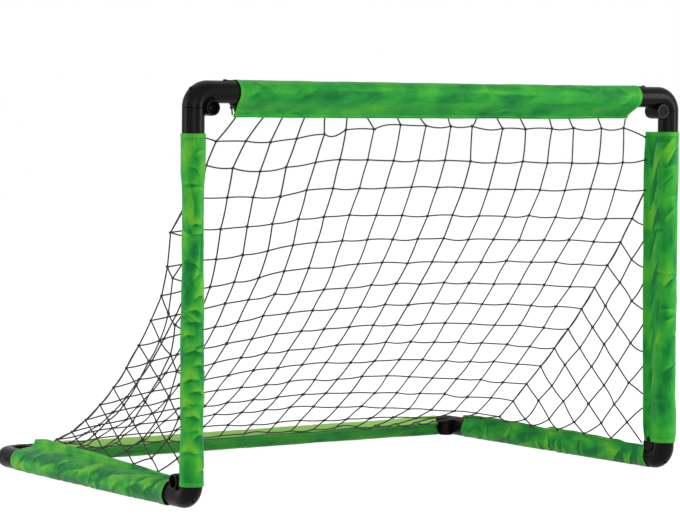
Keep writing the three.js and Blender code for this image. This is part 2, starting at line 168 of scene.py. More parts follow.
floor_paint = Finish("studio_white", {"Base Color": (0.9, 0.9, 0.9, 1), "Roughness": 0.9})
camera_ray, glossy_ray, transmission_ray = (
    floor_paint.node("LightPath", {}, {}, output=output) for output in (0, 3, 6)
)
seen = camera_ray + glossy_ray + transmission_ray
glow = floor_paint.node("Emission", {}, {"Color": (1, 1, 1, 1), "Strength": 1.32})
mixed = floor_paint.node("MixShader", {}, {0: seen * 0.72, 1: floor_paint.shader.outputs[0], 2: glow})
floor_paint.feed(floor_paint.tree.nodes["Material Output"].inputs["Surface"], mixed)
floor_data.materials.append(floor_paint.material)

world = bpy.data.worlds.new("studio_sky")
world.use_nodes = True
scene.world = world
sky_nodes, sky_links = world.node_tree.nodes, world.node_tree.links
sky = sky_nodes["Background"]
sky.inputs["Color"].default_value = (1, 1, 1, 1)
sky_seen = sky_nodes.new("ShaderNodeLightPath")
sky_level = sky_nodes.new("ShaderNodeMapRange")
sky_level.inputs["To Min"].default_value = 0.46
sky_level.inputs["To Max"].default_value = 1.0
sky_shown = sky_seen.outputs["Is Camera Ray"]
for ray in ("Is Glossy Ray", "Is Transmission Ray"):
    either = sky_nodes.new("ShaderNodeMath")
    sky_links.new(sky_shown, either.inputs[0])
    sky_links.new(sky_seen.outputs[ray], either.inputs[1])
    sky_shown = either.outputs[0]
sky_links.new(sky_shown, sky_level.inputs["Value"])
sky_links.new(sky_level.outputs["Result"], sky.inputs["Strength"])


def hang_lamp(name, place, size, power):
    lamp_data = bpy.data.lights.new(name, "AREA")
    lamp_data.shape = "RECTANGLE"
    lamp_data.size, lamp_data.size_y = size
    lamp_data.energy = power
    lamp = bpy.data.objects.new(name, lamp_data)
    scene.collection.objects.link(lamp)
    towards = Vector((0, 0, 0.3)) - Vector(place)
    lamp.matrix_world = Matrix.Translation(place) @ towards.to_track_quat("-Z", "Y").to_matrix().to_4x4()


hang_lamp("left_lamp", (-2.75, 1.0, 1.0), (1.0, 1.8), 34)
hang_lamp("right_lamp", (2.1, -2.2, 1.0), (0.9, 1.8), 54)
hang_lamp("front_lamp", (-1.7, -3.4, 1.0), (1.6, 1.6), 30)
hang_lamp("top_lamp", (0.2, 0.6, 3.0), (2.4, 2.0), 14)

# The six corner fittings are one black nylon moulding each way up. The elbow half has a
# straight leg for one tube, the two outer knuckles of the hinge with their gussets, and
# a raised pad where the tube is riveted.
fitting_radius = 16 * mm
socket_radius = 13.8 * mm
bend_radius = 22 * mm
leg_length = 54 * mm
barrel_radius = 11.5 * mm
disc_reach = 14 * mm
mouth_reach = 18 * mm
knuckle_half = 6.3 * mm


def ring_at(bm, radius, place):
    made = bmesh.ops.create_circle(bm, cap_ends=False, radius=radius, segments=48, matrix=place)
    return list({edge for vert in made["verts"] for edge in vert.link_edges})


def pulled(bm, edges, shift):
    verts = [
        g for g in bmesh.ops.extrude_edge_only(bm, edges=edges)["geom"] if isinstance(g, bmesh.types.BMVert)
    ]
    bmesh.ops.translate(bm, verts=verts, vec=shift)
    ends = set(verts)
    return [edge for edge in bm.edges if edge.verts[0] in ends and edge.verts[1] in ends]


def turned(bm, edges, angle, steps, merge=False):
    verts = list({vert for edge in edges for vert in edge.verts})
    made = bmesh.ops.spin(
        bm, geom=verts + edges, cent=(0, 0, 0), axis=(0, 0, 1), dvec=(0, 0, 0), angle=angle, steps=steps,
        use_merge=merge, use_normal_flip=False, use_duplicate=False,
    )
    return [g for g in made["geom_last"] if isinstance(g, bmesh.types.BMEdge)]


def lathed(bm, profile, steps=48):
    """A closed outline of (radius, height) points, turned once round Z."""
    verts = [bm.verts.new((radius, 0, height)) for radius, height in profile]
    edges = [bm.edges.new((verts[i], verts[(i + 1) % len(verts)])) for i in range(len(verts))]
    turned(bm, edges, math.tau, steps, merge=True)


def rounded_block(bm, length, width, low, high, place, round_top=0.0):
    """An upright bar with half-round ends, longest along Y."""
    made = bmesh.ops.create_circle(
        bm, cap_ends=True, radius=width / 2, segments=24,
        matrix=Matrix.Rotation(math.radians(7.5), 4, "Z"),
    )
    verts = made["verts"]
    for vert in verts:
        vert.co.y += math.copysign((length - width) / 2, vert.co.y)
        vert.co.z = low
    face = verts[0].link_faces[0]
    top = bmesh.ops.extrude_face_region(bm, geom=[face], use_keep_orig=True)["geom"]
    raised = [g for g in top if isinstance(g, bmesh.types.BMVert)]
    bmesh.ops.translate(bm, verts=raised, vec=(0, 0, high - low))
    if round_top:
        ends = set(raised)
        rim = [edge for edge in bm.edges if edge.verts[0] in ends and edge.verts[1] in ends]
        bmesh.ops.bevel(bm, geom=rim, offset=round_top, affect="EDGES", segments=3, profile=0.5, material=-1)
    block = {vert for vert in bm.verts if vert.is_valid and vert in ends} if round_top else set()
    block |= set(verts) | {
        vert for vert in bm.verts
        if any(other in verts for edge in vert.link_edges for other in edge.verts)
    }
    grown = True
    while grown:
        more = {other for vert in block for edge in vert.link_edges for other in edge.verts} - block
        grown = bool(more)
        block |= more
    bmesh.ops.transform(bm, matrix=place, verts=list(block))


def finished(name, bm, place, material, body, nodes, bevel=0.4 * mm, angle=32):
    """The bmesh, moved to its place, as a piece that stands for its CAD nodes."""
    mesh = bpy.data.meshes.new(name)
    copy = bm.copy()
    bmesh.ops.remove_doubles(copy, verts=copy.verts[:], dist=0.005 * mm)
    bmesh.ops.recalc_face_normals(copy, faces=copy.faces[:])
    bmesh.ops.transform(copy, matrix=place, verts=copy.verts[:])
    copy.to_mesh(mesh)
    copy.free()
    mesh.shade_smooth()
    mesh.set_sharp_from_angle(angle=math.radians(angle))
    mesh.materials.append(material)
    piece = bpy.data.objects.new(name, mesh)
    scene.collection.objects.link(piece)
    if bevel:
        soften = piece.modifiers.new("soft_edges", "BEVEL")
        soften.width = bevel
        soften.segments = 2
        soften.limit_method = "ANGLE"
        soften.angle_limit = math.radians(angle)
    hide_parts(*nodes)
    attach(piece, body)
    return piece


def bent_shell(bm, radius, wall, leg_end):
    """A tube from the leg's end round the bend to the seam, with its wall on the inside."""
    leg = Matrix.Translation((leg_end, bend_radius, 0)) @ Matrix.Rotation(math.radians(90), 4, "Y")
    rim = ring_at(bm, radius, leg)
    for _ in range(3):
        rim = pulled(bm, rim, (-leg_end / 3, 0, 0))
    turned(bm, rim, math.radians(90), 18)
    bmesh.ops.recalc_face_normals(bm, faces=bm.faces[:])
    bmesh.ops.solidify(bm, geom=bm.faces[:], thickness=wall)


def elbow_mould(pad_turn):
    bm = bmesh.new()
    bent_shell(bm, fitting_radius, fitting_radius - socket_radius, leg_length)
    lathed(bm, [
        (3.8 * mm, knuckle_half), (barrel_radius, knuckle_half), (barrel_radius, 14.2 * mm),
        (barrel_radius - 0.5 * mm, 14.7 * mm),
        (barrel_radius - 0.5 * mm, mouth_reach - 0.4 * mm), (barrel_radius - 1 * mm, mouth_reach),
        (8.9 * mm, mouth_reach), (8.5 * mm, mouth_reach - 0.4 * mm), (8.5 * mm, 9 * mm), (3.8 * mm, 9 * mm),
    ])
    lathed(bm, [
        (3.8 * mm, -knuckle_half), (3.8 * mm, -11.3 * mm), (7.8 * mm, -11.3 * mm),
        (7.8 * mm, -disc_reach + 0.3 * mm),
        (8.1 * mm, -disc_reach), (barrel_radius - 0.6 * mm, -disc_reach),
        (barrel_radius, -disc_reach + 0.6 * mm), (barrel_radius, -knuckle_half),
    ])
    for angle in (97, 112, 127, 142, 157, 172):
        made = bmesh.ops.create_cube(bm, size=1)["verts"]
        bmesh.ops.scale(bm, verts=made, vec=(6 * mm, 1.8 * mm, 5 * mm))
        bmesh.ops.translate(bm, verts=made, vec=(barrel_radius + 1.6 * mm, 0, 10.6 * mm))
        bmesh.ops.rotate(bm, verts=made, cent=(0, 0, 0), matrix=Matrix.Rotation(math.radians(angle), 3, "Z"))
    on_leg = (
        Matrix.Translation((0, bend_radius, 0))
        @ Matrix.Rotation(pad_turn, 4, "X")
        @ Matrix.Rotation(math.radians(-90), 4, "X")
        @ Matrix.Rotation(math.radians(90), 4, "Z")
    )
    rounded_block(bm, 17 * mm, 9 * mm, fitting_radius - 2 * mm, fitting_radius + 0.8 * mm,
                  on_leg @ Matrix.Translation((0, -35 * mm, 0)), 0.4 * mm)
    nub = Matrix.Rotation(math.radians(135), 4, "Z") @ Matrix.Rotation(math.radians(90), 4, "Y")
    rounded_block(
        bm, 5.02 * mm, 5 * mm, bend_radius + fitting_radius - 1.5 * mm,
        bend_radius + fitting_radius + 1.3 * mm, nub, 0.8 * mm,
    )
    return bm


half_width = 434 * mm
half_depth = 284 * mm
low_axis = 16 * mm
high_axis = 584 * mm
along_x, along_y, along_z = Vector((1, 0, 0)), Vector((0, 1, 0)), Vector((0, 0, 1))
front_frame, base_frame = "front_frame", "base"
corners = {
    "top_left": (
        (-half_width, -half_depth, high_axis), along_x, along_z, front_frame, front_frame, front_frame,
    ),
    "top_right": (
        (half_width, -half_depth, high_axis), -along_x, along_z, front_frame, front_frame, front_frame,
    ),
    "front_left": (
        (-half_width, -half_depth, low_axis), along_y, -along_z, base_frame, front_frame, base_frame,
    ),
    "front_right": (
        (half_width, -half_depth, low_axis), along_z, -along_y, front_frame, base_frame, front_frame,
    ),
    "back_left": ((-half_width, half_depth, low_axis), along_x, along_y, base_frame, base_frame, base_frame),
    "back_right": ((half_width, half_depth, low_axis), -along_y, along_x, base_frame, base_frame, base_frame),
}
places = {}
for corner, (at, leg, up, *_) in corners.items():
    across = leg.cross(up)
    hinge = Vector(at) + bend_radius * leg - bend_radius * up
    places[corner] = Matrix((
        (leg.x, up.x, across.x, hinge.x), (leg.y, up.y, across.y, hinge.y),
        (leg.z, up.z, across.z, hinge.z), (0, 0, 0, 1),
    ))

plastic = Finish("moulded_black_plastic", {"Specular IOR Level": 0.07})
plastic_place = plastic.node("TexCoord", {}, {}, output=3)
plastic_cloud = plastic.noise(plastic_place, 45, 4)
plastic_grain = plastic.noise(plastic_place, 2600, 2)
plastic_scuffs = plastic.noise(plastic_place, 320, 6, 0.75)
plastic.feed(
    plastic.shader.inputs["Base Color"],
    plastic.blend(plastic_cloud, (0.0028, 0.0022, 0.0026, 1), (0.006, 0.005, 0.0056, 1)),
)
plastic.feed(plastic.shader.inputs["Roughness"], 0.22 + plastic_cloud * 0.1 + plastic_scuffs * 0.06)
plastic.bump(plastic_grain + plastic_scuffs * 0.5, 0.03 * mm)

elbow_bm = elbow_mould(0)
beside_bm = elbow_mould(math.radians(-90))
for corner, (_, _, _, leg_body, _, _) in corners.items():
    node = f"{corner}_elbow"
    bm = beside_bm if corner == "front_left" else elbow_bm
    finished(
        f"{corner}_bend_moulding", bm, places[corner], plastic.material, leg_body,
        [node],
    )
elbow_bm.free()
beside_bm.free()

# The other half of each fitting: a straight sleeve on the second tube, moulded with the
# middle knuckle of the hinge and a long window for the lock button.
sleeve_length = 52 * mm
window_middle = -25.5 * mm


def sleeve_mould():
    bm = bmesh.new()
    lathed(
        bm,
        [
            (socket_radius, 0.05 * mm), (fitting_radius - 0.8 * mm, 0.05 * mm),
            (fitting_radius, 0.9 * mm), (fitting_radius, sleeve_length), (socket_radius, sleeve_length),
        ],
    )
    down = Matrix.Translation((-bend_radius, 0, 0)) @ Matrix.Rotation(math.radians(90), 4, "X")
    bmesh.ops.transform(bm, matrix=down, verts=bm.verts[:])
    return bm


def knuckle_mould():
    bm = bmesh.new()
    lathed(bm, [(3.8 * mm, -6 * mm), (barrel_radius, -6 * mm), (barrel_radius, 6 * mm), (3.8 * mm, 6 * mm)])
    return bm


def windowed(piece, place):
    """Cuts the button's window through a sleeve, and leaves the result as its mesh."""
    cutter_bm = bmesh.new()
    rounded_block(cutter_bm, 17 * mm, 6 * mm, 0, fitting_radius + 5 * mm, Matrix.Identity(4))
    bmesh.ops.recalc_face_normals(cutter_bm, faces=cutter_bm.faces[:])
    bmesh.ops.transform(cutter_bm, matrix=place, verts=cutter_bm.verts[:])
    cutter_mesh = bpy.data.meshes.new("window_cutter")
    cutter_bm.to_mesh(cutter_mesh)
    cutter_bm.free()
    cutter = bpy.data.objects.new("window_cutter", cutter_mesh)
    scene.collection.objects.link(cutter)
    taken = piece.modifiers.new("window", "BOOLEAN")
    taken.operation = "DIFFERENCE"
    taken.object = cutter
    result = bpy.data.meshes.new_from_object(piece.evaluated_get(bpy.context.evaluated_depsgraph_get()))
    piece.modifiers.remove(taken)
    piece.data = result
    bpy.data.objects.remove(cutter)
    result.shade_smooth()
    result.set_sharp_from_angle(angle=math.radians(32))


sleeve_bm = sleeve_mould()
knuckle_bm = knuckle_mould()
on_window = Matrix.Translation((-bend_radius, window_middle, 0)) @ Matrix.Rotation(math.radians(-90), 4, "Y")
for corner, (_, _, _, _, sleeve_body, _) in corners.items():
    piece = finished(
        f"{corner}_sleeve_moulding", sleeve_bm, places[corner], plastic.material,
        sleeve_body, [f"{corner}_hinge_sleeve"], bevel=0,
    )
    windowed(piece, places[corner] @ on_window)
    soften = piece.modifiers.new("soft_edges", "BEVEL")
    soften.width = 0.4 * mm
    soften.segments = 2
    soften.limit_method = "ANGLE"
    soften.angle_limit = math.radians(40)
    finished(
        f"{corner}_middle_knuckle", knuckle_bm, places[corner], plastic.material,
        sleeve_body, [f"{corner}_hinge_sleeve"],
    )
sleeve_bm.free()
knuckle_bm.free()

# Hinge pins, lock buttons and tube rivets. The pin is a moulded peg with a dished,
# ringed head, the button fills the sleeve's window, and the rivet is blackened steel.
dark_plastic = Finish("duller_black_plastic", {"Specular IOR Level": 0.08})
dark_place = dark_plastic.node("TexCoord", {}, {}, output=3)
dark_cloud = dark_plastic.noise(dark_place, 90, 4)
dark_plastic.feed(
    dark_plastic.shader.inputs["Base Color"],
    dark_plastic.blend(dark_cloud, (0.004, 0.0036, 0.004, 1), (0.010, 0.009, 0.010, 1)),
)
dark_plastic.feed(dark_plastic.shader.inputs["Roughness"], 0.5 + dark_cloud * 0.12)
dark_plastic.bump(dark_plastic.noise(dark_place, 2600, 2), 0.03 * mm)

rivet_steel = Finish("blackened_rivet_steel", {"Metallic": 0.7})
rivet_place = rivet_steel.node("TexCoord", {}, {}, output=3)
rivet_wear = rivet_steel.noise(rivet_place, 700, 5)
rivet_steel.feed(
    rivet_steel.shader.inputs["Base Color"],
    rivet_steel.blend(rivet_wear, (0.035, 0.034, 0.038, 1), (0.09, 0.088, 0.09, 1)),
)
rivet_steel.feed(rivet_steel.shader.inputs["Roughness"], 0.3 + rivet_wear * 0.2)
rivet_steel.bump(rivet_wear, 0.04 * mm)

pin_bm = bmesh.new()
lathed(pin_bm, [
    (0.01 * mm, -12.7 * mm), (3.2 * mm, -12.7 * mm), (3.5 * mm, -13.5 * mm), (4.6 * mm, -13.5 * mm),
    (4.9 * mm, -13.1 * mm),
    (6.0 * mm, -13.1 * mm), (6.3 * mm, -13.5 * mm), (7.3 * mm, -13.5 * mm), (7.5 * mm, -13.2 * mm),
    (7.5 * mm, -11.6 * mm), (3.5 * mm, -11.5 * mm),
    (3.5 * mm, 10.6 * mm), (3.1 * mm, 11 * mm), (0.01 * mm, 11 * mm),
])
button_bm = bmesh.new()
rounded_block(button_bm, 16.4 * mm, 5.4 * mm, 10.4 * mm, 15.4 * mm, Matrix.Identity(4), 0.7 * mm)
rounded_block(button_bm, 20 * mm, 9 * mm, 9.6 * mm, 11.3 * mm, Matrix.Identity(4), 0.3 * mm)
rivet_bm = bmesh.new()
lathed(rivet_bm, [
    (0.01 * mm, 11.1 * mm), (2 * mm, 11.1 * mm), (2 * mm, 17.1 * mm), (3.25 * mm, 17.1 * mm),
    (3.2 * mm, 17.5 * mm),
    (2.5 * mm, 17.95 * mm), (1.2 * mm, 18.1 * mm), (0.01 * mm, 18.1 * mm),
], 32)
locks = {corner: f"{corner}_lock" for corner in corners}
for corner, (_, _, _, leg_body, _, pin_body) in corners.items():
    finished(
        f"{corner}_ringed_pin", pin_bm, places[corner], dark_plastic.material, pin_body,
        [f"{corner}_hinge_pin"], bevel=0.2 * mm,
    )
    finished(
        f"{corner}_button", button_bm, places[corner] @ on_window, dark_plastic.material,
        locks[corner], [f"{corner}_lock_button"], bevel=0,
    )
    turn = math.radians(-90) if corner == "front_left" else 0
    on_leg = (
        Matrix.Translation((29.5 * mm, bend_radius, 0))
        @ Matrix.Rotation(turn, 4, "X")
        @ Matrix.Rotation(math.radians(-90), 4, "X")
    )
    finished(
        f"{corner}_domed_rivet", rivet_bm, places[corner] @ on_leg, rivet_steel.material,
        leg_body, [f"{corner}_tube_rivet"], bevel=0,
    )
pin_bm.free()
button_bm.free()
rivet_bm.free()

# The six steel tubes are the CAD's own. They are coated grey and lie inside the covers,
# so only their ends show where a fitting is open.
tube_steel = Finish("grey_coated_steel", {"Metallic": 0.85})
tube_place = tube_steel.node("TexCoord", {}, {}, output=3)
tube_cloud = tube_steel.noise(tube_place, 60, 4)
tube_steel.feed(
    tube_steel.shader.inputs["Base Color"],
    tube_steel.blend(tube_cloud, (0.28, 0.30, 0.31, 1), (0.40, 0.42, 0.43, 1)),
)
tube_steel.feed(tube_steel.shader.inputs["Roughness"], 0.34 + tube_cloud * 0.14)
tube_steel.bump(tube_steel.noise(tube_place, 900, 3), 0.02 * mm)
for name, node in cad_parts.items():
    if name.endswith("_tube"):
        node.data.materials.clear()
        node.data.materials.append(tube_steel.material)

# The covers are strips of shiny coated nylon. Each is wrapped round its tube and its two
# edges are sewn together into a flap with the net's edge cord in its hem. The cloth
# buckles where it has slid down its tube, and gathers along the seam and at its ends.
cloth = Finish("green_coated_nylon", {"Specular IOR Level": 0.13, "Specular Tint": (0.5, 1.0, 0.25, 1)})
cloth_uv = cloth.node("UVMap", {"uv_map": "cloth"}, {})
edge_uv = cloth.node("UVMap", {"uv_map": "edges"}, {})
from_end = cloth.node("SeparateXYZ", {}, {0: edge_uv}, output=0)
from_hem = cloth.node("SeparateXYZ", {}, {0: edge_uv}, output=1)
# This vertex attribute holds painted shade: the hollows of the creases are painted darker and their crests
# lighter.
fold = cloth.node("Attribute", {"attribute_name": "fold"}, {}, output=2)
# This vertex attribute holds painted light: the upper side of the back cover is painted lighter, as if lit
# from above.
bleached = cloth.node("Attribute", {"attribute_name": "bleached"}, {}, output=2)
patches = cloth.noise(cloth.node("Mapping", {}, {"Vector": cloth_uv, "Scale": (14, 38, 1)}), 1.0, 3, 0.55)
flecks = cloth.noise(cloth.node("Mapping", {}, {"Vector": cloth_uv, "Scale": (60, 110, 1)}), 1.0, 3, 0.6)
# Painted crease shade, mixed with random patches and flecks of the cloth's tone.
shade = fold * 0.95 + patches * 0.5 + flecks * 0.2 - 0.38
green = cloth.node("ValToRGB", {"stops": [
    (0.20, (0.004, 0.145, 0.030)), (0.42, (0.016, 0.270, 0.034)), (0.58, (0.040, 0.335, 0.031)),
    (0.82, (0.125, 0.410, 0.029)),
]}, {0: shade})
# Painted light: where the top light is set, the green turns to a pale, lit yellow-green.
green = cloth.blend(bleached, green, (0.270, 0.545, 0.105, 1))
stitched = cloth.node("Math", {"operation": "COMPARE"}, {0: from_end, 1: 0.0066, 2: 0.0005})
seamed = cloth.node("Math", {"operation": "COMPARE"}, {0: from_hem, 1: 0.0062, 2: 0.0005})
thread = cloth.node("TexWave", {"bands_direction": "DIAGONAL"}, {"Vector": cloth_uv, "Scale": 110})
green = cloth.blend((stitched + seamed) * thread * 0.7, green, (0.006, 0.110, 0.018, 1))
cloth.feed(cloth.shader.inputs["Base Color"], green)
cloth.feed(cloth.shader.inputs["Roughness"], 0.33 + flecks * 0.16)
warp = cloth.node(
    "TexWave", {"bands_direction": "X"},
    {"Vector": cloth_uv, "Scale": 550, "Distortion": 0.4, "Detail": 1},
)
weft = cloth.node(
    "TexWave", {"bands_direction": "Y"},
    {"Vector": cloth_uv, "Scale": 550, "Distortion": 0.4, "Detail": 1},
)
rumple = cloth.noise(cloth.node("Mapping", {}, {"Vector": cloth_uv, "Scale": (1, 1.5, 1)}), 95, 4, 0.55)
cloth.bump(rumple * 9.0 + (warp + weft) * 0.1 - (stitched + seamed) * thread * 1.2, 0.12 * mm)


def eased(t):
    t = min(1.0, max(0.0, t))
    return t * t * (3 - 2 * t)


def along_profile(stops, share):
    """The value at a share of the length, eased between (share, value) stops."""
    for (first, low), (second, high) in zip(stops, stops[1:]):
        if share <= second:
            return low + (high - low) * eased((share - first) / (second - first))
    return stops[-1][1]


flap_columns, side_columns, round_columns, split_column = 10, 6, 40, 13


def cover_section(radius, seam, reach):
    """Points round a cover, as (x towards the flap, y), from the first hem to the second."""
    meet = math.acos(min(0.98, radius / seam))
    touch = Vector((radius * math.cos(meet), radius * math.sin(meet)))
    points = []
    for k in range(flap_columns):
        inward = (reach - seam) * (k / flap_columns) ** 1.4
        bulge = 0.9 * mm * math.sin(math.pi * inward / (5 * mm)) if inward < 5 * mm else 0
        points.append(Vector((reach - inward, 0.55 * mm + bulge)))
    points += [Vector((seam, 0.55 * mm)).lerp(touch, k / side_columns) for k in range(side_columns)]
    for k in range(round_columns + 1):
        angle = meet + (math.tau - 2 * meet) * k / round_columns
        points.append(Vector((radius * math.cos(angle), radius * math.sin(angle))))
    points += [Vector((point.x, -point.y)) for point in points[:flap_columns + side_columns]][::-1]
    return points


def crease_height(creases, along, girth, bend):
    """Height of the cloth's folds at a spot: each is a crest with a hollow beside it."""
    height = 0.0
    for middle, across, length, width, turn, depth in creases:
        ahead, aside = along - middle, girth - across
        t = (ahead * math.cos(turn) + aside * math.sin(turn)) / (length / 2)
        if abs(t) < 1:
            side = (aside * math.cos(turn) - ahead * math.sin(turn)) / width - bend * (abs(t) - 0.35)
            fading = math.exp(-abs(side) / (1.2 if side > 0 else 1.7))
            height += depth * (1 - t * t) * math.tanh(side / 0.3) * fading
    return height


def cloth_piece(name, coords, columns, uvs, marks, body):
    """One run of columns of a cover's grid, as an object with the cloth's maps."""
    bm = bmesh.new()
    cloth_layer, edge_layer = bm.loops.layers.uv.new("cloth"), bm.loops.layers.uv.new("edges")
    # Two vertex layers carry painted light: the crease shade and the top light of the back cover.
    crease_shade_layer, top_light_layer = bm.verts.layers.float.new("fold"), bm.verts.layers.float.new("bleached")
    rows = len(coords)
    verts = {}
    for row in range(rows):
        for column in {column for strip in columns for column in strip}:
            vert = bm.verts.new(coords[row][column])
            vert[crease_shade_layer], vert[top_light_layer] = marks[row][column]
            verts[row, column] = vert
    for strip in columns:
        for row in range(rows - 1):
            for first, second in zip(strip, strip[1:]):
                corners_at = ((row, first), (row, second), (row + 1, second), (row + 1, first))
                face = bm.faces.new([verts[at] for at in corners_at])
                for loop, (r, c) in zip(face.loops, corners_at):
                    loop[cloth_layer].uv, loop[edge_layer].uv = uvs[r][c]
    mesh = bpy.data.meshes.new(name)
    bm.to_mesh(mesh)
    bm.free()
    mesh.materials.append(cloth.material)
    piece = bpy.data.objects.new(name, mesh)
    scene.collection.objects.link(piece)
    thicken = piece.modifiers.new("cloth_thickness", "SOLIDIFY")
    thicken.thickness = 0.45 * mm
    thicken.offset = 0
    piece.data = bpy.data.meshes.new_from_object(piece.evaluated_get(bpy.context.evaluated_depsgraph_get()))
    piece.modifiers.clear()
    piece.data.shade_smooth()
    piece.data.set_sharp_from_angle(angle=math.radians(65))
    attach(piece, body)
    return piece


def sewn_cover(
    node, body, axis_at, start, end, way, flap_way, radii, reaches, seam, shown, leans=(0, 0),
    slack=1.0 * mm, creases=(), buckles=(0, 0), bend=0.3, floor_height=None, top_light=None,
    squashed=False, seed=1,
):
    """A cover from start to end along its tube, and its flap towards flap_way. Shown is the
    side of the flap that leads the other: 1 for the side of way x flap_way, or -1."""
    rng = random.Random(seed)
    shift = Vector((rng.uniform(0, 50), rng.uniform(0, 50), rng.uniform(0, 50)))
    side_way = way.cross(flap_way).normalized()
    span = end - start
    rows = round(span / (1.8 * mm))
    plain = cover_section(along_profile(radii, 0.5), seam, along_profile(reaches, 0.5))
    girths = [0.0]
    for first, second in zip(plain, plain[1:]):
        girths.append(girths[-1] + (second - first).length)
    count, girth = len(plain), girths[-1]
    creases = [(share * span, across, *rest) for share, across, *rest in creases]
    for _ in range(buckles[0]):
        creases.append((
            span * rng.uniform(0.03, 0.97), girth * rng.uniform(0.22, 0.78), rng.uniform(16, 44) * mm,
            rng.uniform(2.2, 4.0) * mm,
            buckles[1] + rng.uniform(-0.7, 0.7), rng.choice((-1, 1)) * rng.uniform(0.35, 0.8) * slack,
        ))
    coords, marks, uvs = [], [], []
    for row in range(rows + 1):
        share = row / rows
        along = span * share
        nearest = min(along, span - along)
        points = cover_section(along_profile(radii, share), seam, along_profile(reaches, share))
        near = [crease for crease in creases if abs(crease[0] - along) < crease[2] / 2 + 5 * crease[3]]
        loose = 0.25 + 0.75 * eased(nearest / (26 * mm))
        puffs = []
        for column in range(count):
            spot = Vector((along * 21, girths[column] * 40, 0)) + shift
            rough = 0.75 * noise.noise(spot) + 0.4 * noise.noise(spot * 2.2) + 0.2 * noise.noise(spot * 4.7)
            puff = slack * rough * loose
            puff += crease_height(near, along, girths[column] if shown > 0 else girth - girths[column], bend)
            puffs.append(puff + (0.3 * mm if nearest < 6.5 * mm else 0))
        for column in range(flap_columns + side_columns):
            own = eased((column - flap_columns) / side_columns)
            other = count - 1 - column
            led, leader = (other, column) if shown > 0 else (column, other)
            puffs[led] = puffs[led] * own - puffs[leader] * (1 - own)
        row_coords, row_marks, row_uvs = [], [], []
        slow, quick = Vector((along * 11, 0, 2)) + shift, Vector((along * 31, 0, 4)) + shift
        sway = 2.0 * mm * (noise.noise(slow) + 0.6 * noise.noise(quick))
        for column, flat in enumerate(points):
            before, after = points[max(column - 1, 0)], points[min(column + 1, count - 1)]
            if column < flap_columns or column > count - 1 - flap_columns:
                outward = Vector((0, 1 if column < flap_columns else -1))
            else:
                outward = Vector((after.y - before.y, before.x - after.x)).normalized()
            hem_share = (flat.x + 17 * mm) / (along_profile(reaches, share) + 17 * mm)
            hang = max(0.0, (flat.x - 15 * mm) / (along_profile(reaches, share) - 15 * mm)) ** 1.5
            lean = (leans[0] * (1 - share) ** 10 + leans[1] * share ** 10) * eased((hem_share - 0.42) / 0.5)
            section = flat + outward * max(puffs[column], -0.9 * mm if flat.x < seam else -9)
            place = axis_at + way * (start + along + lean) + flap_way * section.x
            place += side_way * (section.y + hang * sway)
            if floor_height is not None:
                place.z = max(place.z, floor_height)
            row_coords.append(place)
            # The second mark is painted light on the upper side of the cover, where a top light function is
            # given.
            top_lit = top_light(flat) if top_light else 0.0
            # The first mark is painted shade: crests of the puffs and creases lighter, hollows darker.
            row_marks.append((min(1.0, max(0.0, 0.5 + puffs[column] / (2.2 * mm))), top_lit))
            from_flap_hem = min(girths[column], girth - girths[column])
            row_uvs.append(((along, girths[column]), (nearest, from_flap_hem)))
        coords.append(row_coords)
        marks.append(row_marks)
        uvs.append(row_uvs)
    wrap = cloth_piece(f"{node}_wrap", coords, [range(split_column, count - split_column)], uvs, marks, body)
    flap = cloth_piece(
        f"{node}_flap", coords, [range(split_column + 1), range(count - split_column - 1, count)], uvs,
        marks, body,
    )
    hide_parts(node)
    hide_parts(node)
    if squashed:
        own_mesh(flap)


def leaning(first, second, degrees):
    return math.cos(math.radians(degrees)) * first + math.sin(math.radians(degrees)) * second


sewn_cover(
    "crossbar_cover", "front_frame", Vector((0, -half_depth, high_axis)), -366.5 * mm, 366 * mm, along_x,
    leaning(-along_z, along_y, 20),
    [
        (0, 17.2 * mm), (0.03, 17.2 * mm), (0.1, 16.6 * mm), (0.9, 16.6 * mm), (0.97, 17.2 * mm),
        (1, 17.2 * mm),
    ],
    [(0, 37.5 * mm), (0.4, 37.5 * mm), (0.85, 36.5 * mm), (1, 35 * mm)], 31 * mm, -1,
    leans=(7 * mm, -6 * mm), slack=0.7 * mm,
    creases=[
        (0.03, 45 * mm, 30 * mm, 4 * mm, 0.5, 0.5 * mm), (0.05, 60 * mm, 34 * mm, 4 * mm, -0.35, 0.45 * mm),
        (0.3, 52 * mm, 190 * mm, 7 * mm, 0.01, 0.5 * mm), (0.62, 50 * mm, 220 * mm, 7 * mm, -0.02, 0.5 * mm),
        (0.8, 36 * mm, 150 * mm, 7 * mm, 0.03, 0.45 * mm), (0.5, 34 * mm, 160 * mm, 6 * mm, 0.0, -0.4 * mm),
        (0.96, 40 * mm, 34 * mm, 4 * mm, 0.7, 0.5 * mm), (0.95, 58 * mm, 30 * mm, 4 * mm, -0.5, 0.5 * mm),
    ], buckles=(16, 0.3), seed=3,
)
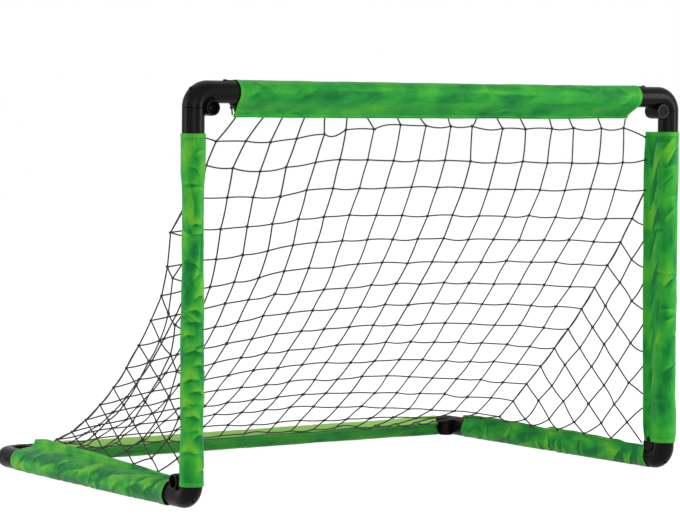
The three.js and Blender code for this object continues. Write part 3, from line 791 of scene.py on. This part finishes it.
sewn_cover(
    "left_upright_cover", "front_frame", Vector((-half_width, -half_depth, 0)), 33.5 * mm, 526 * mm,
    along_z, leaning(along_y, along_x, 26),
    [
        (0, 16.9 * mm), (0.06, 17.0 * mm), (0.16, 15.8 * mm), (0.3, 16.8 * mm), (0.45, 16.4 * mm),
        (0.62, 15.0 * mm), (0.84, 15.2 * mm), (0.9, 17 * mm), (1, 17.2 * mm),
    ],
    [(0, 36 * mm), (0.5, 38 * mm), (1, 36 * mm)], 26 * mm, -1, slack=1.3 * mm,
    creases=[
        (0.10, 74 * mm, 26 * mm, 4.0 * mm, 1.45, -1.6 * mm),
        (0.145, 58 * mm, 24 * mm, 4.0 * mm, 1.7, -1.6 * mm),
        (0.20, 68 * mm, 24 * mm, 4.2 * mm, 1.35, -1.7 * mm),
        (0.235, 76 * mm, 22 * mm, 3.6 * mm, 1.75, -1.3 * mm),
        (0.27, 62 * mm, 26 * mm, 4.2 * mm, 1.4, -1.5 * mm),
        (0.305, 72 * mm, 26 * mm, 4.2 * mm, 1.75, -1.7 * mm),
        (0.345, 60 * mm, 20 * mm, 3.4 * mm, 1.3, -1.2 * mm),
        (0.385, 66 * mm, 28 * mm, 4.4 * mm, 1.55, -1.8 * mm),
        (0.43, 76 * mm, 22 * mm, 4.0 * mm, 1.8, -1.3 * mm), (0.5, 66 * mm, 26 * mm, 4.2 * mm, 1.4, -1.5 * mm),
        (0.54, 60 * mm, 22 * mm, 3.6 * mm, 1.9, -1.1 * mm),
        (0.745, 64 * mm, 20 * mm, 3.4 * mm, 1.5, -1.5 * mm),
        (0.8, 70 * mm, 80 * mm, 4 * mm, 0.1, 0.7 * mm), (0.66, 58 * mm, 90 * mm, 4 * mm, -0.08, 0.7 * mm),
    ], buckles=(26, 1.5), bend=1.1, squashed=True, seed=11,
)
sewn_cover(
    "right_upright_cover", "front_frame", Vector((half_width, -half_depth, 0)), 43 * mm, 530 * mm,
    along_z, leaning(along_y, -along_x, 26),
    [
        (0, 17.2 * mm), (0.03, 18.9 * mm), (0.08, 18.7 * mm), (0.16, 16.8 * mm), (0.3, 16.6 * mm),
        (0.5, 16.9 * mm), (0.85, 16.9 * mm), (0.92, 17.2 * mm), (1, 17.2 * mm),
    ],
    [(0, 33 * mm), (0.06, 36 * mm), (0.5, 39 * mm), (0.9, 40 * mm), (1, 37.5 * mm)], 25 * mm, 1,
    slack=0.9 * mm,
    creases=[
        (0.93, 22 * mm, 54 * mm, 4.4 * mm, 0.35, 1.5 * mm),
        (0.87, 26 * mm, 60 * mm, 4.6 * mm, 0.5, -1.5 * mm),
        (0.79, 22 * mm, 60 * mm, 4.8 * mm, 0.42, 1.5 * mm),
        (0.72, 24 * mm, 56 * mm, 4.4 * mm, 0.5, -1.4 * mm),
        (0.63, 22 * mm, 60 * mm, 4.6 * mm, 0.4, 1.4 * mm),
        (0.55, 26 * mm, 50 * mm, 4.4 * mm, 0.55, -1.3 * mm),
        (0.45, 22 * mm, 46 * mm, 4.2 * mm, 0.35, 1.0 * mm),
        (0.33, 20 * mm, 40 * mm, 4.2 * mm, 0.3, -1.0 * mm),
        (0.2, 22 * mm, 36 * mm, 4.0 * mm, 0.3, 1.0 * mm), (0.1, 20 * mm, 30 * mm, 4.0 * mm, 0.4, 0.9 * mm),
        (0.96, 52 * mm, 30 * mm, 3.4 * mm, 0.6, 1.2 * mm), (0.92, 58 * mm, 34 * mm, 3.6 * mm, 0.5, -1.2 * mm),
        (0.74, 56 * mm, 30 * mm, 3.4 * mm, 0.7, 1.0 * mm), (0.52, 56 * mm, 26 * mm, 3.4 * mm, 0.8, -1.1 * mm),
        (0.4, 60 * mm, 24 * mm, 3.2 * mm, 1.2, 1.0 * mm), (0.24, 58 * mm, 26 * mm, 3.4 * mm, 1.0, -1.0 * mm),
    ], buckles=(34, 1.2), squashed=True, seed=17,
)
sewn_cover(
    "left_side_rail_cover", "base", Vector((-half_width, 0, low_axis)), -233 * mm, 225 * mm, along_y,
    leaning(along_z, along_x, 26),
    [
        (0, 18.4 * mm), (0.02, 18.4 * mm), (0.06, 17.4 * mm), (0.25, 18.5 * mm), (0.7, 18.2 * mm),
        (0.93, 17.4 * mm), (1, 16.9 * mm),
    ],
    [(0, 22 * mm), (0.06, 26 * mm), (0.3, 31 * mm), (0.6, 36 * mm), (0.9, 40 * mm), (1, 37 * mm)],
    23 * mm, -1, leans=(6 * mm, -20 * mm),
    slack=1.6 * mm, creases=[
        (0.05, 36 * mm, 40 * mm, 4.4 * mm, 1.0, 2.0 * mm), (0.09, 44 * mm, 34 * mm, 4.0 * mm, 0.6, -2.0 * mm),
        (0.13, 32 * mm, 44 * mm, 4.6 * mm, 0.75, 1.8 * mm),
        (0.18, 46 * mm, 50 * mm, 4.2 * mm, 0.35, -1.4 * mm),
        (0.27, 34 * mm, 70 * mm, 4.4 * mm, 0.2, 1.2 * mm), (0.36, 46 * mm, 60 * mm, 4.2 * mm, 0.45, 1.1 * mm),
        (0.45, 36 * mm, 44 * mm, 4.4 * mm, 0.9, -1.0 * mm),
        (0.55, 42 * mm, 80 * mm, 4.6 * mm, 0.15, 1.1 * mm),
        (0.64, 34 * mm, 60 * mm, 4.2 * mm, 0.5, -0.9 * mm), (0.74, 44 * mm, 56 * mm, 4.4 * mm, 0.3, 0.9 * mm),
        (0.83, 34 * mm, 40 * mm, 4.2 * mm, 0.8, -1.0 * mm), (0.9, 42 * mm, 40 * mm, 4.2 * mm, 0.5, 1.2 * mm),
    ], buckles=(64, 1.0), floor_height=0.8 * mm, squashed=True, seed=23,
)
sewn_cover(
    "right_side_rail_cover", "base", Vector((half_width, 0, low_axis)), -257 * mm, 226 * mm, along_y,
    leaning(along_z, -along_x, 36),
    [
        (0, 16.9 * mm), (0.06, 17.2 * mm), (0.3, 17.8 * mm), (0.46, 17.6 * mm), (0.515, 15.2 * mm),
        (0.56, 17.4 * mm), (0.93, 17.0 * mm), (1, 16.9 * mm),
    ],
    [
        (0, 21 * mm), (0.08, 23 * mm), (0.14, 29 * mm), (0.4, 31 * mm), (0.47, 34 * mm), (0.52, 28 * mm),
        (0.58, 31 * mm), (0.9, 32 * mm), (1, 29 * mm),
    ],
    22 * mm, -1, leans=(4 * mm, -8 * mm), slack=1.3 * mm, creases=[
        (0.47, 44 * mm, 60 * mm, 3.6 * mm, 1.4, 2.2 * mm),
        (0.505, 40 * mm, 50 * mm, 3.2 * mm, 1.65, -2.2 * mm),
        (0.53, 46 * mm, 50 * mm, 3.2 * mm, 1.45, 1.6 * mm),
        (0.555, 38 * mm, 36 * mm, 3.2 * mm, 1.8, -1.4 * mm),
        (0.04, 40 * mm, 34 * mm, 3.6 * mm, 1.3, 1.8 * mm), (0.07, 32 * mm, 36 * mm, 3.8 * mm, 1.0, -2.0 * mm),
        (0.105, 40 * mm, 34 * mm, 3.8 * mm, 1.5, 1.6 * mm),
        (0.15, 34 * mm, 44 * mm, 4.2 * mm, 0.7, -1.4 * mm),
        (0.26, 36 * mm, 70 * mm, 4.4 * mm, 0.25, 1.0 * mm),
        (0.37, 44 * mm, 50 * mm, 4.2 * mm, 0.5, -0.9 * mm),
        (0.65, 36 * mm, 70 * mm, 4.2 * mm, 0.2, 0.9 * mm), (0.8, 40 * mm, 56 * mm, 4.0 * mm, 0.4, -0.8 * mm),
    ], buckles=(54, 1.1), floor_height=0.8 * mm, squashed=True, seed=29,
)
sewn_cover(
    "back_rail_cover", "base", Vector((0, half_depth, low_axis)), -372 * mm, 405 * mm, along_x,
    leaning(-along_y, along_z, 13),
    [
        (0, 16.9 * mm), (0.05, 16.9 * mm), (0.12, 15.2 * mm), (0.88, 15.2 * mm), (0.95, 16.9 * mm),
        (1, 16.9 * mm),
    ],
    [(0, 32 * mm), (0.1, 37 * mm), (0.9, 38 * mm), (1, 30 * mm)], 24 * mm, -1, leans=(8 * mm, -14 * mm),
    slack=0.8 * mm,
    creases=[
        (0.9, 56 * mm, 40 * mm, 4.2 * mm, 0.6, 1.2 * mm), (0.82, 60 * mm, 44 * mm, 4.4 * mm, 0.4, -1.0 * mm),
        (0.7, 58 * mm, 40 * mm, 4.4 * mm, 1.4, 1.0 * mm), (0.5, 60 * mm, 60 * mm, 4.4 * mm, 0.2, -0.9 * mm),
    # The upper side of the back cover's tube and flap gets the painted top light.
    ], buckles=(30, 1.0), floor_height=0.8 * mm, top_light=lambda flat: 0.0 if flat.y > -2 * mm else 1.0, seed=31,
)

# The net is dark twisted twine 2.3 mm thick. The back panel is tied in squares of
# about 45 mm, hangs slack below the crossbar and slopes down to the back flap.
twine_radius = 1.15 * mm
panel_half = 411 * mm
net_columns, net_rows = 18, 16
left_hang = [
    (-271, 550), (-242, 524), (-208, 484), (-192, 430), (-183, 366), (-170, 310), (-144, 270), (-76, 194),
    (5, 127),
    (98, 72), (170, 48), (244, 27),
]
middle_hang = [
    (-271, 550), (-256, 490), (-205, 409), (-136, 328), (-60, 250), (19, 180), (99, 118), (176, 68),
    (246, 27),
]
right_hang = [
    (-271, 550), (-262, 482), (-229, 395), (-160, 306), (-88, 224), (-13, 152), (57, 91), (114, 45),
    (205, 40),
]
middle_share = 10 / net_columns


def hung(points, share):
    """The (y, z) at a share of the length of a line of points, smoothed between them."""
    line = [Vector(point) * mm for point in points]
    lengths = [0.0]
    for first, second in zip(line, line[1:]):
        lengths.append(lengths[-1] + (second - first).length)
    target = share * lengths[-1]
    k = max(i for i in range(len(line) - 1) if lengths[i] <= target + 1e-9)
    t = (target - lengths[k]) / (lengths[k + 1] - lengths[k])
    before, first, second, after = line[max(k - 1, 0)], line[k], line[k + 1], line[min(k + 2, len(line) - 1)]
    return 0.5 * (
        2 * first + (second - before) * t + (2 * before - 5 * first + 4 * second - after) * t ** 2
        + (3 * first - before - 3 * second + after) * t ** 3
    )


def net_at(row, side):
    """A place on the back panel, curved across through its left, middle and right lines."""
    first_mesh = 0.42 + 0.5 * max(0.0, 1 - side / 0.3)
    down = row * first_mesh if row < 1 else first_mesh + (row - 1) * (net_rows - first_mesh) / (net_rows - 1)
    weights = (
        (side - middle_share) * (side - 1) / middle_share,
        side * (side - 1) / (middle_share * (middle_share - 1)),
        side * (side - middle_share) / (1 - middle_share),
    )
    across = (-panel_half, (16 + 63 * row / net_rows) * mm, panel_half)
    lines = [hung(points, down / net_rows) for points in (left_hang, middle_hang, right_hang)]
    x = sum(weight * place for weight, place in zip(weights, across))
    y, z = sum((weight * line for weight, line in zip(weights, lines)), Vector((0, 0)))
    if row >= 1:
        z -= 17 * mm * math.exp(-((side - 0.18) / 0.11) ** 2) * max(0.0, 1 - (row - 1) / 6)
    return Vector((x, y, z))


def strung(splines, knots, name, node):
    """Twine along each list of points, with a knot at each knot, as one piece."""
    curve = bpy.data.curves.new(name, "CURVE")
    curve.dimensions = "3D"
    curve.bevel_depth = twine_radius
    curve.bevel_resolution = 1
    curve.use_fill_caps = True
    for points in splines:
        spline = curve.splines.new("POLY")
        spline.points.add(len(points) - 1)
        for slot, point in zip(spline.points, points):
            slot.co = (*point, 1)
    string = bpy.data.objects.new(name, curve)
    scene.collection.objects.link(string)
    bpy.context.view_layer.update()
    mesh = bpy.data.meshes.new_from_object(string.evaluated_get(bpy.context.evaluated_depsgraph_get()))
    bpy.data.objects.remove(string)
    bm = bmesh.new()
    bm.from_mesh(mesh)
    rng = random.Random(5)
    for knot in knots:
        turn = Matrix.Rotation(rng.uniform(0, math.tau), 4, "X") @ Matrix.Rotation(
            rng.uniform(0, math.tau), 4, "Z",
        )
        size = Matrix.Diagonal((1.45 * twine_radius * 2, 1.0 * twine_radius * 2, 1.1 * twine_radius * 2, 1))
        bmesh.ops.create_icosphere(
            bm, subdivisions=1, radius=1, matrix=Matrix.Translation(knot) @ turn @ size,
        )
    bm.to_mesh(mesh)
    bm.free()
    mesh.shade_smooth()
    mesh.materials.clear()
    mesh.materials.append(twine.material)
    piece = bpy.data.objects.new(name, mesh)
    scene.collection.objects.link(piece)
    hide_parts(node)
    return piece


twine = Finish("dark_twisted_twine", {"Specular IOR Level": 0.3})
twine_place = twine.node("TexCoord", {}, {}, output=3)
twist = twine.node(
    "TexWave", {"bands_direction": "DIAGONAL"},
    {"Vector": twine_place, "Scale": 180, "Distortion": 1.5, "Detail": 2},
)
twine.feed(
    twine.shader.inputs["Base Color"],
    twine.blend(twist, (0.016, 0.013, 0.011, 1), (0.045, 0.037, 0.030, 1)),
)
twine.feed(twine.shader.inputs["Roughness"], 0.62 + twist * 0.15)
twine.bump(twist, 0.25 * mm)

jitter = random.Random(41)
net_knots = {}
for row in range(net_rows + 1):
    for column in range(net_columns + 1):
        place = net_at(row, column / net_columns)
        if 0 < column < net_columns and 0 < row < net_rows:
            loose = 5 if row == 1 else 2.0
            nudge = (
                jitter.uniform(-loose, loose), jitter.uniform(-1, 1), jitter.uniform(-loose, loose) * 0.8,
            )
            place += Vector(nudge) * mm
        elif row == net_rows and column < net_columns:
            place.y, place.z = 246 * mm, 27.5 * mm
        net_knots[row, column] = place
hem_y = -half_depth + 33.5 * mm
for column, side in ((0, -1), (net_columns, 1)):
    for row, height in ((1, 521), (2, 486), (3, 438)):
        net_knots[row, column] = Vector((side * 417.6 * mm, hem_y, height * mm))
laced_at = (-355, -309, -277, -239, -205, -166, -131, -77, -36, 16, 69, 107, 151, 207, 246, 303, 358)
for column, x in enumerate(laced_at, 1):
    net_knots[0, column].x = x * mm


def slack_line(knots, sag, rng, steps=5):
    """Points through a row of knots, with a little sag and sway in each mesh."""
    points = []
    for first, second in zip(knots, knots[1:]):
        bow = Vector((rng.uniform(-0.4, 0.4), rng.uniform(-0.3, 0.3), rng.uniform(-1, 0.45))) * sag
        for k in range(steps):
            t = k / steps
            points.append(first.lerp(second, t) + bow * math.sin(math.pi * t))
    return points + [knots[-1]]


lines = []
for row in range(1, net_rows):
    sag = 7 * mm if row == 1 else 2.4 * mm
    lines.append(slack_line([net_knots[row, column] for column in range(net_columns + 1)], sag, jitter))
for column in range(net_columns + 1):
    first_row = 0 if 0 < column < net_columns else 3
    last_row = net_rows if column < net_columns else net_rows - 2
    lines.append(
        slack_line([net_knots[row, column] for row in range(first_row, last_row + 1)], 1.8 * mm, jitter)
    )
above_hem = Vector((0, -1.5 * mm, 1.5 * mm))
lacing = [net_knots[net_rows, column] + above_hem for column in range(1, net_columns)]
lines.append(slack_line(lacing, 7 * mm, jitter))
knots = [net_knots[row, column] for row in range(1, net_rows) for column in range(net_columns + 1)]
tie = [Vector(point) * mm for point in (
    (-360, -268, 552), (-362, -270, 560), (-366, -274, 567), (-362, -277, 570), (-359, -272, 566),
    (-364, -270, 569), (-366, -275, 562), (-360, -275, 565),
)]
lines.append(slack_line(tie, 0, jitter, 4))
knots += tie[2:]
back_net = strung(lines, knots, "back_twine_net", "back_net")
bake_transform(back_net)

# The two side panels are the same twine, hung in diamonds from the edge of the back
# panel to the flaps of the upright and the side rail, where each mesh is laced on.
side_steps = 12
rim_row = 3
for side_name, side, corner_z, rise in (("left", -1, 46 * mm, 0.035), ("right", 1, 40 * mm, 0.004)):
    rng = random.Random(61 + side)
    corner_y = -half_depth + 40 * mm
    rim_column = 0 if side < 0 else net_columns
    seats = {}
    for i in range(side_steps + 1):
        for j in range(i % 2, side_steps + 1 - i, 2):
            out = (i + j) / side_steps
            along = i / (i + j) if i + j else 0
            rim = net_at(rim_row + side_steps * along, rim_column / net_columns)
            x = side * (417.6 * mm + (panel_half - 417.6 * mm) * out * (0 < along))
            y = (hem_y if i == 0 else corner_y) + ((rim.y - corner_y) * out if i else 0)
            top_z = 438 * mm if i == 0 else rim.z
            z = corner_z + rise * y + ((top_z - corner_z - rise * y) * out if j else 0)
            if j == 0 and side < 0:
                x -= 1.4 * mm - 0.018 * y
            sway = 2.5 * mm if i and j and i + j < side_steps else 0
            seats[i, j] = Vector((x, y + rng.uniform(-sway, sway), z + rng.uniform(-sway, sway)))
            if i + j == side_steps:
                seats[i, j] = net_knots[rim_row + i, rim_column]
    lines = []
    for (i, j), seat in seats.items():
        for other in ((i + 1, j + 1), (i + 1, j - 1)):
            if other in seats:
                first = seat
                if i == 0 and 0 < j < side_steps:
                    first = seat.lerp(seats[0, j + 2 if other[1] > j else j - 2], 0.17)
                lines.append(slack_line([first, seats[other]], 3.0 * mm, rng, 5))
    knots = [seat for (i, j), seat in seats.items() if i and i + j < side_steps]
    panel = strung(lines, knots, f"{side_name}_side_twine_net", f"{side_name}_side_net")
    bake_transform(panel)
